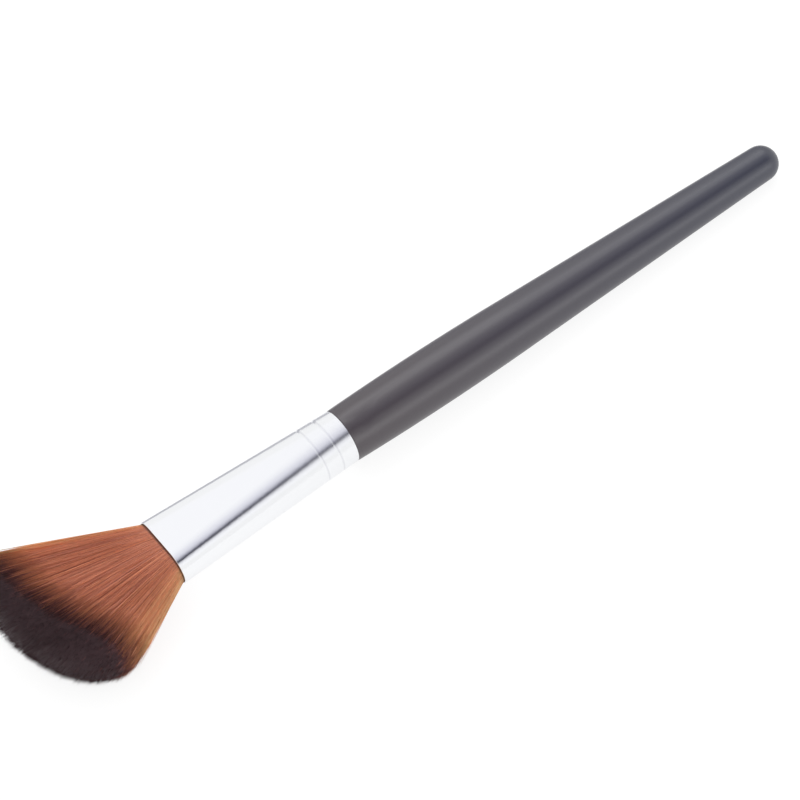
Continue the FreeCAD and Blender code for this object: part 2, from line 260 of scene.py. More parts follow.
def add_surface(name: str, points: Array, faces: Array, uv: Array | None = None) -> Piece:
    """Puts a triangle surface into the scene.

    Args:
        name: Name of the object and its mesh.
        points: Vertex places in metres, one row each.
        faces: Three vertex numbers a row, turning outwards.
        uv: Two shares for each vertex, where the material reads them.

    Returns:
        The new object, with smooth shading.
    """
    mesh = bpy.data.meshes.new(name)
    mesh.vertices.add(len(points))
    mesh.vertices.foreach_set("co", points.astype(np.float32).ravel())
    mesh.loops.add(faces.size)
    mesh.loops.foreach_set("vertex_index", faces.astype(np.int32).ravel())
    mesh.polygons.add(len(faces))
    mesh.polygons.foreach_set("loop_start", np.arange(0, faces.size, 3, dtype=np.int32))
    mesh.polygons.foreach_set("use_smooth", np.ones(len(faces), dtype=bool))
    if uv is not None:
        layer = mesh.uv_layers.new(name=TONE_UV)
        layer.uv.foreach_set("vector", uv[faces.ravel()].astype(np.float32).ravel())
    mesh.update(calc_edges=True)
    mesh.validate()
    return add_object(name, mesh)


def tube_faces(rings: int, around: int) -> Array:
    """Triangles of a tube of rings that is closed at both ends by one point each.

    The vertices are the near end's point, the rings in order and the far end's point. Two triangles
    fill each square between neighbours on two rings, and a fan closes each end.

    Args:
        rings: Number of rings.
        around: Number of points on a ring.

    Returns:
        Three vertex numbers a row.
    """
    column = np.arange(around)
    after = (column + 1) % around
    row = 1 + around * np.arange(rings - 1)[:, None]
    low, low_next = row + column, row + after
    high, high_next = low + around, low_next + around
    walls = [np.stack([low, low_next, high_next], -1), np.stack([low, high_next, high], -1)]
    near = np.stack([np.zeros_like(column), 1 + after, 1 + column], -1)
    last = 1 + around * (rings - 1)
    far = np.stack([last + column, last + after, np.full_like(column, last + around)], -1)
    return np.concatenate([near, *(w.reshape(-1, 3) for w in walls), far])


@dataclass(frozen=True)
class BrushPlace:
    """Where the brush lies: the joint of handle and ferrule, and its three directions.

    The first direction runs along the brush towards the end of the handle, the second is the wide
    way of the tuft towards its long hair, and the third comes out of the upper face.
    """

    joint: Array
    turn: Array

    @classmethod
    def from_record(
        cls, record: dict[str, object], grip_distance: float = 20.0, rest_roll: float = 3.0
    ) -> "BrushPlace":
        """Reads the place from the grip mount, which is a point on the handle's axis.

        Args:
            record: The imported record.
            grip_distance: From the joint to the mount, in millimetres.
            rest_roll: Turn about the brush's axis with which it rests, in degrees.

        Returns:
            The place of the brush.
        """
        mount = record["mounts"][0]
        along = np.array(mount["axis"]) / np.linalg.norm(mount["axis"])
        level = np.array([0.0, 1.0, 0.0])
        up = np.cross(along, level)
        roll = radians(rest_roll)
        wide = level * cos(roll) + up * sin(roll)
        out = up * cos(roll) - level * sin(roll)
        joint = np.array(mount["pos_m"]) - grip_distance * MM * along
        return cls(joint, np.column_stack([along, wide, out]))

    def put(self, points: Array) -> Array:
        """Points of the brush in millimetres, as places in the scene in metres."""
        return self.joint + points @ self.turn.T * MM


@dataclass(frozen=True)
class Seeds:
    """Where filaments leave the mouth.

    Each has a depth share, a share of the mouth's straight and the angle of its normal.
    """

    ring: Array
    straight: Array
    normal: Array


@dataclass(frozen=True)
class FanShape:
    """The form of the tuft, in millimetres and degrees.

    The mouth's inside is a flat oval: a straight of this half length with round ends. A filament
    keeps its share of the oval and fans out in proportion, the wide way and the thick way.
    """

    ferrule_length: float = 41.7
    straight: float = 3.55
    bend: float = 3.67
    swell: float = 0.25
    swell_run: float = 1.0
    hair_straight: float = 0.8
    side_spread: float = 26.0
    side_lean: float = -3.0
    face_spread: float = 14.0
    hair_length: float = 32.3
    tip_slant: float = 6.0
    width_crown: float = 5.0
    face_crown: float = 2.0
    tip_dome: float = 5.0

    def seeds(self, turn: Array, ring: Array) -> Seeds:
        """Walks round the flat oval.

        Args:
            turn: Shares of the way round, from the wide end with the long hair.
            ring: Depth share of each filament, one on the rim and nought in the middle.

        Returns:
            The seeds at those shares.
        """
        quarter = pi * self.bend / 2
        flat = 2 * self.straight
        ends = np.cumsum([0, quarter, flat, 2 * quarter, flat, quarter])
        way = turn * ends[-1]
        normal = np.interp(way, ends, np.array([0, 0.5, 0.5, 1.5, 1.5, 2.0]) * pi)
        straight = np.interp(way, ends, [1, 1, -1, -1, 1, 1])
        return Seeds(ring, straight, normal)

    def shares(self, seeds: Seeds) -> tuple[Array, Array]:
        """How far each seed is out from the middle, the wide way and the thick way."""
        wide = self.straight * seeds.straight + self.bend * np.cos(seeds.normal)
        return seeds.ring * wide / (self.straight + self.bend), seeds.ring * np.sin(seeds.normal)

    def reach(self, seeds: Seeds) -> Array:
        """Length of the tuft at each seed.

        The length on the axis, plus a slant in proportion to the wide share, less a crown that goes
        with the square of each share, less what an elliptical dome has dropped at the depth share.
        """
        wide, thick = self.shares(seeds)
        inside = np.clip(1 - seeds.ring ** 2, 0.0, 1.0)
        slanted = self.hair_length + self.tip_slant * wide
        crowned = slanted - self.width_crown * wide ** 2 - self.face_crown * thick ** 2
        return crowned - self.tip_dome * (1 - np.sqrt(inside))

    def spot(self, seeds: Seeds, run: Array) -> Array:
        """Places along filaments.

        A filament starts at its place in the mouth, swells out by a fraction of a millimetre along
        its normal in a first short run, and then leaves at the tangent of its spread, times its
        share. An exponential that dies out over the straight stretch softens the start.

        Args:
            seeds: The filaments.
            run: Distance from the mouth along the brush, below nought inside the ferrule.

        Returns:
            Places in the brush's own directions.
        """
        wide, thick = self.shares(seeds)
        past = np.maximum(run, 0.0)
        spread = past - self.hair_straight * (1 - np.exp(-past / self.hair_straight))
        swell = self.swell * np.minimum(past / self.swell_run, 1.0)
        along_wide = self.straight * seeds.straight + (self.bend + swell) * np.cos(seeds.normal)
        along_out = (self.bend + swell) * np.sin(seeds.normal)
        lean = tan(radians(self.side_lean)) + tan(radians(self.side_spread)) * wide
        aside = seeds.ring * along_wide + lean * spread
        out = seeds.ring * along_out + tan(radians(self.face_spread)) * thick * spread
        return np.stack([-(self.ferrule_length + run), aside, out], axis=-1)


@dataclass(frozen=True)
class DyeLine:
    """Where the dark dye of the tips starts, in millimetres from the mouth.

    It is ragged by a scatter of each filament's own and by one that all hair of a lock shares.
    """

    middle: float = 25.2
    slant: float = 4.6
    crown: float = 1.6
    lower_by: float = 3.5
    lower_from: float = 0.5
    least_at_rim: Curve = ((-1.0, -0.4, 0.6, 1.0), (0.3, 2.0, 2.0, 1.0))
    deeper_inwards: float = 25.0
    deepest: float = 5.0
    ragged: float = 1.7
    own_ragged: float = 0.7
    lock_ragged: float = 0.25
    reading_span: float = 30.0
    root_share: float = 0.1
    root_clear: Pair = (0.15, 0.5)

    def start(self, wide: Array, thick: Array, ring: Array, length: Array) -> Array:
        """Where the dye starts on a filament.

        It is further out with the long hair, and where the hair is short it is further in on the
        lower face than on the upper one. It never starts later than a least stretch before the
        tip, which grows from the sides of the fan to its faces and from the rim over the dome.

        Args:
            wide: Wide share of each filament.
            thick: Thick share of each filament, one on the upper face.
            ring: Depth share of each filament.
            length: Length of each filament.

        Returns:
            Distances from the mouth.
        """
        lower = self.lower_by * (1 - thick) / 2 * np.clip(self.lower_from - wide, 0.0, 1.0)
        line = self.middle + self.slant * wide - self.crown * wide ** 2 - lower
        inwards = np.minimum(self.deeper_inwards * (1 - ring), self.deepest)
        return np.minimum(line, length - np.interp(wide, *self.least_at_rim) - inwards)

    def reading(self, start: Array, run: Array) -> Array:
        """What the hair material reads along a filament.

        The first tenth of the scale is the stretch where the filament comes out of the shade of the
        mouth, which the hair material paints into the colour as painted shade. The rest is the
        distance from the start of the dye, which lies in its middle.

        Args:
            start: Where the dye starts.
            run: Distance from the mouth of each point.

        Returns:
            One share for each point.
        """
        root = np.interp(run, self.root_clear, (0.0, self.root_share))
        dyed = np.clip(0.5 + (run - start) / self.reading_span, 0.0, 1.0)
        return root + (1 - self.root_share) * dyed


# Finishes. A relief is a strength and a depth in millimetres.

@dataclass(frozen=True)
class SatinLacquer:
    """Satin black lacquer, dipped over turned birch.

    To the eye it is a dark warm grey with broad soft highlights and a faint waviness from the
    dipping. Its colour turns cooler towards the free end; that change of tone goes from one place
    to another along the handle, in metres.
    """

    near_joint: str = "#372C33"
    near_end: str = "#1F2338"
    tone_places: Pair = (-0.02, 0.09)
    roughness: Pair = (0.31, 0.41)
    ior: float = 1.6
    specular: float = 0.75
    wave_mm: float = 2.2
    wave_relief: Pair = (0.05, 0.02)
    grain_mm: float = 0.35
    grain_relief: Pair = (0.08, 0.01)

    def make(self) -> Material:
        """Builds the material."""
        material, tree = new_material("satin_black_lacquer_dipped")
        place = object_place(tree)
        split = add_node(tree, "ShaderNodeSeparateXYZ", inputs={0: place})
        along = add_range(tree, split.outputs["X"], self.tone_places)
        wave = add_noise(tree, place, self.wave_mm, detail=2.0)
        grain = add_noise(tree, place, self.grain_mm, detail=3.0)
        coarse = add_bump(tree, wave, self.wave_relief)
        show_principled(tree, {
            "Base Color": add_ramp(tree, along, ((0.0, self.near_joint), (1.0, self.near_end))),
            "Roughness": add_range(tree, grain, after=self.roughness),
            "IOR": self.ior,
            "Specular IOR Level": self.specular,
            "Normal": add_bump(tree, grain, self.grain_relief, coarse),
        })
        return material


@dataclass(frozen=True)
class BrightAluminium:
    """Aluminium tube, drawn and polished bright.

    To the eye it is a near mirror, with faint lines along the tube from the drawing, which stretch
    reflections round it. It is more matt towards the crimp rings, where the rollers held it, and
    the rings are painted a little grey, as painted shade in their grooves. Rings are counted from
    the joint.
    """

    colour: str = "#F2F3F5"
    # Painted shade in the grooves of the crimp rings.
    ring_painted_shade: str = "#E3E4E8"
    rings_mm: Pair = (3.5, 7.1)
    ring_half_mm: float = 0.32
    ring_stretch_mm: float = 10.0
    mouth_to_crimp: Pair = (-0.056, -0.020)
    roughness: Pair = (0.11, 0.20)
    scatter: float = 0.04
    line_mm: float = 0.12
    line_stretch: float = 60.0
    line_relief: Pair = (0.04, 0.004)

    def ring_shade_stops(self) -> Stops:
        """Tones along the last stretch before the joint: painted shade in each ring, bright
        between.
        """
        stops = [(0.0, self.colour)]
        for ring in self.rings_mm[::-1]:
            for off, tone in ((-1, self.colour), (0, self.ring_painted_shade), (1, self.colour)):
                place = 1 - (ring - off * self.ring_half_mm) / self.ring_stretch_mm
                stops.append((place, tone))
        return tuple(stops)

    def make(self, joint: Array, along: Array) -> Material:
        """Builds the material.

        Args:
            joint: Place of the joint of handle and ferrule.
            along: Direction of the brush towards its handle.

        Returns:
            The material.
        """
        material, tree = new_material("drawn_polished_aluminium")
        place = object_place(tree)
        lines = 1 / (self.line_mm * MM)
        drawn = add_node(
            tree, "ShaderNodeMapping",
            inputs={"Vector": place, "Scale": (lines / self.line_stretch, lines, lines)},
        )
        noise = add_noise(tree, drawn.outputs["Vector"], 1 / MM, detail=2.0)
        split = add_node(tree, "ShaderNodeSeparateXYZ", inputs={0: place})
        matt = add_range(tree, split.outputs["X"], self.mouth_to_crimp, self.roughness)
        reach = add_node(
            tree, "ShaderNodeVectorMath", {"operation": "DOT_PRODUCT"}, {0: place, 1: tuple(along)}
        )
        end = float(joint @ along)
        last = add_range(tree, reach.outputs["Value"], (end - self.ring_stretch_mm * MM, end))
        show_principled(tree, {
            "Base Color": add_ramp(tree, last, self.ring_shade_stops()),
            "Metallic": 1.0,
            "Roughness": add_math(tree, "MULTIPLY_ADD", noise, self.scatter, matt),
            "Normal": add_bump(tree, noise, self.line_relief),
        })
        return material


@dataclass(frozen=True)
class TwoToneHair:
    """Fine PBT filament, extruded, dyed orange-brown and dipped dark at the tips.

    To the eye each filament has its own tone between rust and gold, a soft silky gloss along it,
    a little light that comes through it, a root darkened with painted shade from the mouth, and a
    ragged change to a dark red-brown.
    The dye goes from nought to one over its stretch of the scale: a thin dye is complete at one
    share of that, and the full dark one begins at another.
    """

    hair: Stops = (
        (0.0, "#9A5440"), (0.25, "#CF7A5F"), (0.55, "#F29C70"), (0.8, "#F8B27A"), (1.0, "#FFD29C"),
    )
    tips: Stops = ((0.0, "#38252A"), (0.5, "#452E33"), (1.0, "#684540"))
    edge_of_dye: str = "#8F5453"
    # The root's painted shade: the colour is darkened up to this place on the scale, down to this
    # share.
    root_end: float = 0.1
    root_painted_shade: float = 0.3
    dye_stretch: Pair = (0.50, 0.70)
    thin_until: float = 0.5
    dark_from: float = 0.3
    gloss: Pair = (0.45, 0.2)
    see_through: float = 0.25
    roughness: float = 0.42
    ior: float = 1.55
    mottle_mm: float = 0.8
    mottle: Pair = (0.88, 1.12)

    def make(self) -> Material:
        """Builds the material."""
        material, tree = new_material("dyed_pbt_filament")
        tone, run = tone_and_place(tree)
        dye = add_range(tree, run, self.dye_stretch, kind="SMOOTHSTEP")
        weak = add_range(tree, dye, (0.0, self.thin_until))
        full = add_range(tree, dye, (self.dark_from, 1.0))
        thin = add_mix(tree, weak, add_ramp(tree, tone, self.hair), linear(self.edge_of_dye))
        both = add_mix(tree, full, thin, add_ramp(tree, tone, self.tips))
        # Painted shade at the root, where it leaves the mouth.
        root = add_range(tree, run, (0.0, self.root_end), (self.root_painted_shade, 1.0))
        cloud = add_noise(tree, object_place(tree), self.mottle_mm, detail=2.0)
        shade = add_math(tree, "MULTIPLY", add_range(tree, cloud, after=self.mottle), root)
        scaled = add_node(
            tree, "ShaderNodeVectorMath", {"operation": "SCALE"}, {0: both, "Scale": shade}
        )
        colour = scaled.outputs["Vector"]
        skin = add_node(
            tree, "ShaderNodeBsdfPrincipled", inputs={
                "Base Color": colour,
                "Roughness": self.roughness,
                "IOR": self.ior,
                "Specular IOR Level": add_range(tree, dye, after=self.gloss),
            },
        )
        glow = add_node(tree, "ShaderNodeBsdfTranslucent", inputs={"Color": colour})
        shader = add_node(
            tree, "ShaderNodeMixShader",
            inputs={0: self.see_through, 1: skin.outputs["BSDF"], 2: glow.outputs["BSDF"]},
        )
        show_shader(tree, shader.outputs["Shader"])
        return material


@dataclass(frozen=True)
class CottonThread:
    """White cotton thread, twisted, soaked with glue where it holds the root of the hair.

    To the eye it is a dull cream with the slanted ridges of its twist, and the grooves between them
    painted darker as painted shade.
    """

    colour: str = "#E3DCC8"
    twist_painted_shade: str = "#BDB196"
    twist_mm: float = 0.25
    uneven: float = 1.0
    twist_relief: Pair = (0.4, 0.03)
    roughness: float = 0.85

    def make(self) -> Material:
        """Builds the material."""
        material, tree = new_material("twisted_cotton_thread")
        wave = add_node(
            tree, "ShaderNodeTexWave", settings={"bands_direction": "DIAGONAL"}, inputs={
                "Vector": object_place(tree),
                "Scale": 1 / (self.twist_mm * MM * 2 * pi),
                "Distortion": self.uneven,
            },
        )
        twist = wave.outputs["Fac"]
        show_principled(tree, {
            # Painted shade: the grooves of the twist are darker.
            "Base Color": add_ramp(tree, twist, ((0.0, self.twist_painted_shade), (1.0, self.colour))),
            "Roughness": self.roughness,
            "Normal": add_bump(tree, twist, self.twist_relief),
        })
        return material


@dataclass(frozen=True)
class CastEpoxy:
    """Clear epoxy, poured into the ferrule and cured.

    To the eye it is a glossy amber with cloudy patches of fine bubbles.
    """

    tones: Stops = ((0.35, "#C9A868"), (0.7, "#DCC795"))
    cloud_mm: float = 1.5
    roughness: float = 0.15
    ior: float = 1.55

    def make(self) -> Material:
        """Builds the material."""
        material, tree = new_material("cast_clear_epoxy")
        cloud = add_noise(tree, object_place(tree), self.cloud_mm, detail=4.0)
        show_principled(tree, {
            "Base Color": add_ramp(tree, cloud, self.tones),
            "Roughness": self.roughness,
            "IOR": self.ior,
        })
        return material


# Sub-assemblies

@dataclass(frozen=True)
class Grip:
    """The handle and the ferrule with what it hides, which keep the solids of the frame."""

    lacquer: SatinLacquer = field(default_factory=SatinLacquer)
    aluminium: BrightAluminium = field(default_factory=BrightAluminium)
    thread: CottonThread = field(default_factory=CottonThread)
    epoxy: CastEpoxy = field(default_factory=CastEpoxy)

    def dress(self, nodes: dict[str, Piece], place: BrushPlace) -> None:
        """Gives each node of the frame its finish.

        Args:
            nodes: The nodes of the frame by name.
            place: Where the brush lies.
        """
        finishes = {
            "handle": self.lacquer.make(),
            "ferrule": self.aluminium.make(place.joint, place.turn[:, 0]),
            "binding_thread": self.thread.make(),
            "glue_plug": self.epoxy.make(),
        }
        for name, material in finishes.items():
            give_material(nodes[name], material)
            LOG.info("%s: %s", name, material.name)


@dataclass(frozen=True)
class HairGroup:
    """One group of filaments.

    Turns are shares of the way round the mouth, and steps are shares of a filament's length.
    """

    count: int
    turns: Pair
    steps: tuple[float, ...]
    width: float


# A real filament is 0.07 mm thick. Among others it is too fine to show, so it is drawn at nearly
# twice that, and only the loose ones have their true thickness.
TRUE_WIDTH = 0.07
DRAWN_WIDTH = 0.13
FROM_MOUTH = (-0.02, 0.006, 0.022, 0.35, 0.7, 1.0)
HAIR_GROUPS = {
    HairPart.UPPER_FACE: HairGroup(6600, (0.0, 0.5), FROM_MOUTH, DRAWN_WIDTH),
    HairPart.LOWER_FACE: HairGroup(6600, (0.5, 1.0), FROM_MOUTH, DRAWN_WIDTH),
    HairPart.TIP: HairGroup(11000, (0.0, 1.0), (0.7, 0.86, 0.95, 1.0), DRAWN_WIDTH),
    HairPart.LOOSE: HairGroup(900, (0.0, 1.0), FROM_MOUTH, TRUE_WIDTH),
}
CORNERS = 3
LEAST_LOCK = 1e-6


@dataclass(frozen=True)
class Tuft:
    """The fan of hair: a dense heart and the filaments over it. Lengths are in millimetres.

    Tones are shares of the hair's scale of colours. Where two numbers are a scatter, they are its
    middle and its spread.
    """

    place: BrushPlace
    shape: FanShape = field(default_factory=FanShape)
    dye: DyeLine = field(default_factory=DyeLine)
    finish: TwoToneHair = field(default_factory=TwoToneHair)
    seed: int = 20
    floor_gap: float = 0.03

    heart_share: float = 0.9
    heart_short: float = 1.2
    heart_root: float = 2.0
    heart_around: int = 720
    heart_rings: tuple[int, int] = (28, 30)
    heart_crowding: float = 1.3
    heart_ragged: float = 0.6
    heart_tone: Pair = (0.32, 0.12)
    heart_palest: float = 0.8
    heart_end_tone: float = 0.3

    rim_depth: float = 0.09
    rim_crowding: float = 0.7
    tip_ring: float = 0.97
    length_scatter: Pair = (-0.2, 0.3)
    drift: float = 0.28
    drift_ways: tuple[float, float, float] = (0.2, 1.0, 0.5)
    bow: float = 0.12
    loose_lift: float = 0.17
    narrow_from: float = 0.85
    tip_width: float = 0.4

    locks: int = 120
    lock_growth: float = 1.5
    lock_pull: float = 0.4
    lock_sink: float = 0.035

    own_tone: Pair = (0.41, 0.08)
    lock_tone: float = 0.045
    # Painted shade: hair towards a lock's edge, in the valley between locks, is made darker by this
    # much.
    valley_painted_shade: float = 0.09
    # Light comes through the thin sides of the fan. That glow is painted light: the hair's tone is
    # made paler there, and paler still on the loose hair.
    painted_side_light: Curve = (
        (-1.0, -0.85, -0.6, 0.6, 0.8, 0.92, 1.0), (0.25, 0.14, 0.0, 0.0, 0.25, 0.5, 0.6),
    )
    # Painted light: the loose hair on the sides is made paler still, for the light through it.
    painted_loose_light: Curve = ((-1.0, -0.6, 0.6, 1.0), (0.2, 0.0, 0.0, 0.6))

    def dress(self) -> None:
        """Builds the heart and the groups of filaments in place of the plain tuft."""
        material = self.finish.make()
        pieces = [self.make_heart()]
        for number, part in enumerate(HairPart):
            chance = np.random.default_rng(self.seed + number)
            pieces.append(self.make_hair(part, chance))
        for piece in pieces:
            give_material(piece, material)
            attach(piece, BODY)
            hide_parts("bristle_bundle")
            LOG.info("%s: %d triangles", piece.name, len(piece.data.polygons))

    def put(self, points: Array) -> Array:
        """Places in the scene, where hair that would go through the floor lies on it."""
        points = self.place.put(points)
        points[..., 2] = np.maximum(points[..., 2], self.floor_gap * MM)
        return points

    def make_heart(self) -> Piece:
        """The dense inside of the tuft, which shows between the filaments.

        It is the fan's own surface a little inside the outer filaments. Rings run from inside the
        mouth to the edge of the dome and then over the dome, whose rings shrink to the axis.

        Returns:
            The new object.
        """
        turn = np.arange(self.heart_around) / self.heart_around
        chance = np.random.default_rng(self.seed)
        side_rings, dome_rings = self.heart_rings
        sides = np.linspace(0.0, 1.0, side_rings)[:, None] ** self.heart_crowding
        inward = np.cos(np.linspace(0.0, pi / 2, dome_rings)[1:-1])[:, None]
        rim = self.shape.seeds(turn, np.full_like(turn, self.heart_share))
        over = self.shape.seeds(turn, self.heart_share * inward)
        full = self.shape.reach(rim) - self.heart_short + self.heart_root
        side_runs = -self.heart_root + sides * full
        dome_runs = self.shape.reach(over) - self.heart_short
        stretches = ((rim, side_runs, side_runs[-1:]), (over, dome_runs, dome_runs))
        runs = np.concatenate([side_runs, dome_runs])
        points = np.concatenate([self.shape.spot(seeds, run) for seeds, run, _ in stretches])
        starts = np.concatenate([
            np.broadcast_to(self.dye.start(*self.shape.shares(seeds), seeds.ring, tip), run.shape)
            for seeds, run, tip in stretches
        ])
        ragged = chance.normal(0.0, self.heart_ragged, self.heart_around)
        shade = self.dye.reading(starts + ragged, runs)
        tone = chance.normal(*self.heart_tone, self.heart_around)
        tone = np.clip(tone, 0.0, self.heart_palest)
        uv = np.stack([np.broadcast_to(tone, shade.shape), shade], -1)
        near, far = ([[self.heart_end_tone, reading]] for reading in (0.0, 1.0))
        uv = np.concatenate([near, uv.reshape(-1, 2), far])
        ends = points[[0, -1]].mean(axis=1)
        points = np.concatenate([ends[:1], points.reshape(-1, 3), ends[1:]])
        faces = tube_faces(len(runs), self.heart_around)
        return add_surface("hair_heart", self.put(points), faces, uv)

    def make_hair(self, part: HairPart, chance: np.random.Generator) -> Piece:
        """One group of filaments.

        Args:
            part: The stretch of the tuft that they cover.
            chance: Seeded source of their scatter.

        Returns:
            The new object.
        """
        group = HAIR_GROUPS[part]
        steps = np.array(group.steps)
        turn, ring, tone = self.scatter(part, group, chance)
        middle, sunk, lot = self.lock_of(turn)
        growth = np.clip(steps, 0.0, None) ** self.lock_growth
        pulled = turn[:, None] + self.lock_pull * growth * (middle - turn)[:, None]
        sink = 1.0 - self.lock_sink * growth * sunk[:, None]
        own = self.shape.seeds(turn, ring)
        wide, thick = self.shape.shares(own)
        # Painted light: the tone is made paler towards the sides of the fan.
        painted_light = np.interp(wide, *self.painted_side_light)
        if part is HairPart.LOOSE:
            painted_light = painted_light + np.interp(wide, *self.painted_loose_light)
        # Painted shade: the tone is made darker in the valleys between locks.
        tone = np.clip(tone + painted_light + self.lock_tone * lot - self.valley_painted_shade * sunk, 0.0, 1.0)
        length = self.shape.reach(own) + chance.normal(*self.length_scatter, group.count)
        start = self.dye.start(wide, thick, ring, length)
        stray = self.dye.own_ragged * chance.normal(size=group.count) + self.dye.lock_ragged * lot
        start = start + self.dye.ragged * stray
        runs = steps * length[:, None]
        seeds = self.shape.seeds(pulled, ring[:, None] * sink)
        path = self.shape.spot(seeds, runs) + self.wander(part, seeds, steps, chance)
        shade = self.dye.reading(start[:, None], runs)
        uv = np.stack([np.broadcast_to(tone[:, None], shade.shape), shade], -1)
        return self.add_prisms(part.value, self.put(path), steps, group.width, uv)

    def scatter(
        self, part: HairPart, group: HairGroup, chance: np.random.Generator
    ) -> tuple[Array, Array, Array]:
        """Where the filaments of a group leave the mouth, and the tone of each.

        The hair of the faces stands at the rim and a little inside it, the hair of the tip evenly
        all over the mouth, by the root of an even share. The loose hair is on the rim, crowded to
        the two sides by the cube of its distance from the nearer one.

        Args:
            part: The stretch of the tuft that they cover.
            group: What the group is made of.
            chance: Seeded source of the scatter.

        Returns:
            Share of the way round, depth share and tone of each filament.
        """
        turn = chance.uniform(*group.turns, group.count)
        ring = 1.0 - self.rim_depth * chance.random(group.count) ** self.rim_crowding
        tone = chance.normal(*self.own_tone, group.count)
        if part is HairPart.TIP:
            ring = self.tip_ring * np.sqrt(chance.random(group.count))
        if part is HairPart.LOOSE:
            near_side = np.round(2 * turn) / 2
            turn = (near_side + (turn - near_side) * (4 * (turn - near_side)) ** 2) % 1.0
            ring = np.ones(group.count)
        return turn, ring, tone

    def lock_of(self, turn: Array) -> tuple[Array, Array, Array]:
        """Sorts filaments into uneven locks.

        Args:
            turn: Share of the way round of each filament.

        Returns:
            The middle of each filament's lock, how far it is from there towards the lock's edge,
            squared, and a number from a normal scatter that all hair of the lock shares.
        """
        chance = np.random.default_rng(self.seed)
        edges = np.concatenate([[0.0], np.sort(chance.random(self.locks)), [1.0]])
        lock = np.clip(np.searchsorted(edges, turn, side="right") - 1, 0, self.locks)
        middle = (edges[lock] + edges[lock + 1]) / 2
        width = np.maximum(edges[lock + 1] - edges[lock], LEAST_LOCK)
        return middle, (2 * (turn - middle) / width) ** 2, chance.normal(size=self.locks + 1)[lock]

    def wander(
        self, part: HairPart, seeds: Seeds, steps: Array, chance: np.random.Generator
    ) -> Array:
        """How far filaments stray from the even fan.

        Each drifts with the square of its share of the length and bows once along it. The loose
        ones also stand off along their normal.

        Args:
            part: The group.
            seeds: The filaments by rows, at each point.
            steps: Share of the length at each point.
            chance: Seeded source of the scatter.

        Returns:
            Offsets in the brush's own directions.
        """
        count = len(seeds.ring)
        share = np.clip(steps, 0.0, None)
        drift = chance.normal(0.0, self.drift, (count, 1, 3)) * self.drift_ways
        offset = drift * share[:, None] ** 2
        bow = chance.normal(0.0, self.bow, (count, 1)) * np.sin(pi * share)
        if part is HairPart.LOOSE:
            bow = bow + chance.exponential(self.loose_lift, (count, 1)) * share
        offset[..., 1] += bow * np.cos(seeds.normal)
        offset[..., 2] += bow * np.sin(seeds.normal)
        return offset

    def add_prisms(self, name: str, path: Array, steps: Array, width: float, uv: Array) -> Piece:
        """Carries a triangle along each path and closes it to a point at the tip.

        The triangle's corners lie on a circle round the path, which narrows evenly near the tip.
        Its plane is square to the path, from the path's direction crossed with a fixed one.

        Args:
            name: Name of the piece.
            path: Places in metres, filaments by points by three.
            steps: Share of the length at each point.
            width: Thickness of a filament.
            uv: Tone and shade at each point.

        Returns:
            The new object.
        """
        count, length = path.shape[:2]
        along = np.gradient(path, axis=1)
        along /= np.linalg.norm(along, axis=-1, keepdims=True)
        side = np.cross(along, [0.0, 0.0, 1.0])
        side /= np.linalg.norm(side, axis=-1, keepdims=True)
        out = np.cross(side, along)
        narrow = np.interp(steps[:-1], [self.narrow_from, 1.0], [1.0, self.tip_width])
        radius = width / 2 * MM * narrow[None, :, None, None]
        angle = pi / 2 + 2 * pi * np.arange(CORNERS) / CORNERS
        ring = np.cos(angle)[:, None] * side[:, :-1, None, :]
        ring = ring + np.sin(angle)[:, None] * out[:, :-1, None, :]
        rings = path[:, :-1, None, :] + radius * ring
        points = np.concatenate([path[:, :1], rings.reshape(count, -1, 3), path[:, -1:]], axis=1)
        walls = np.repeat(uv[:, :-1], CORNERS, axis=1)
        tones = np.concatenate([uv[:, :1], walls, uv[:, -1:]], axis=1)
        one = tube_faces(length - 1, CORNERS)
        faces = one[None] + (points.shape[1] * np.arange(count))[:, None, None]
        return add_surface(name, points.reshape(-1, 3), faces.reshape(-1, 3), tones.reshape(-1, 2))


# Studio

@dataclass(frozen=True)
class PhotoCamera:
    """The camera at the photograph's angle, from lines fitted to the photograph."""

    place: BrushPlace
    distance_mm: float = 669.6
    towards_tuft: float = 15.6
    towards_short_hair: float = 32.7
    roll: float = 10.35
    focal_pixels: float = 3502.0
    joint_pixel: Pair = (341.8, 436.4)

    def direction(self) -> Array:
        """From the joint to the camera, in the brush's own directions."""
        lean, side = radians(self.towards_tuft), radians(self.towards_short_hair)
        return np.array([-sin(lean), -cos(lean) * sin(side), cos(lean) * cos(side)])

    def add(self) -> None:
        """Adds the scene's camera so that the joint falls on its pixel."""
        back = Vector(self.direction())
        right = Vector((0.0, 0.0, 1.0)).cross(back).normalized()
        up = back.cross(right)
        roll = radians(self.roll)
        turned = Matrix((
            right * cos(roll) - up * sin(roll), right * sin(roll) + up * cos(roll), back,
        )).transposed()
        across, down = (pixel - FRAME_PIXELS / 2 for pixel in self.joint_pixel)
        sight = Vector((across, -down, -self.focal_pixels))
        aim = Vector((0.0, 0.0, -1.0)).rotation_difference(sight).to_matrix()
        basis = Matrix(self.place.turn) @ turned @ aim.transposed()
        data = bpy.data.cameras.new("photo_camera")
        data.sensor_width = SENSOR_WIDTH
        data.lens = self.focal_pixels / FRAME_PIXELS * SENSOR_WIDTH
        data.clip_start = 0.01
        camera = add_object(data.name, data)
        spot = self.place.put(self.distance_mm * self.direction())
        camera.matrix_world = Matrix.Translation(spot) @ basis.to_4x4()
        bpy.context.scene.camera = camera


@dataclass(frozen=True)
class SoftBox:
    """One soft box.

    It has a swing, a length along the brush and a height in metres, its light, and the nodes that
    are screened from it.
    """

    name: str
    swing: float
    size: Pair
    radiance: float
    screened: tuple[str, ...]


